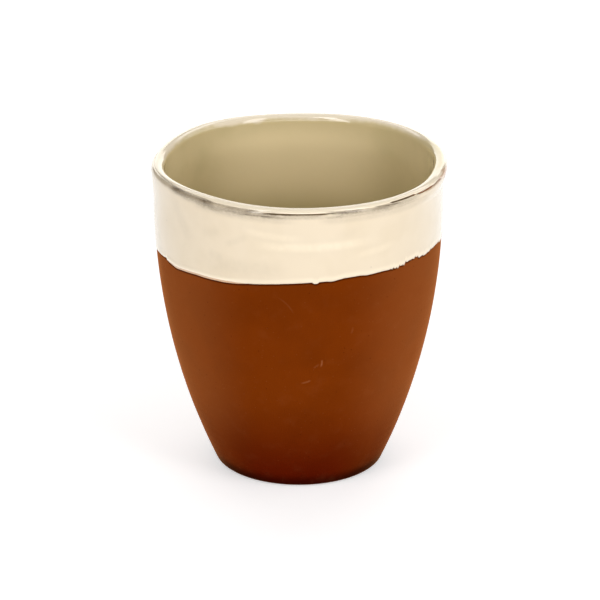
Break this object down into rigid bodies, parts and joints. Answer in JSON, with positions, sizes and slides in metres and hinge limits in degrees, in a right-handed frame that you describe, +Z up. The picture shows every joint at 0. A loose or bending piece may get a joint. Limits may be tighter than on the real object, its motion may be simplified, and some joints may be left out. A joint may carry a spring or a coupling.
{
  "type": "clay tea cup",
  "caption": "Handleless tapered clay tea cup with a bare red outside, a glazed lining that rolls over the lip and a dipped cream band round the top.",
  "frame": {"origin": "on the table, under the middle of the foot", "axes": "+Z up along the cup's axis, -Y to the front as pictured, +X to the right, where the dip line is highest"},
  "size_m": [0.0808, 0.0808, 0.0876],
  "materials": {
    "red_clay": "matte",
    "lining_glaze": "gloss",
    "band_glaze": "gloss"
  },
  "bodies": {
    "root": {"clay_body": "red_clay", "liner_glaze": "lining_glaze", "band_glaze": "band_glaze"}
  },
  "joints": []
}
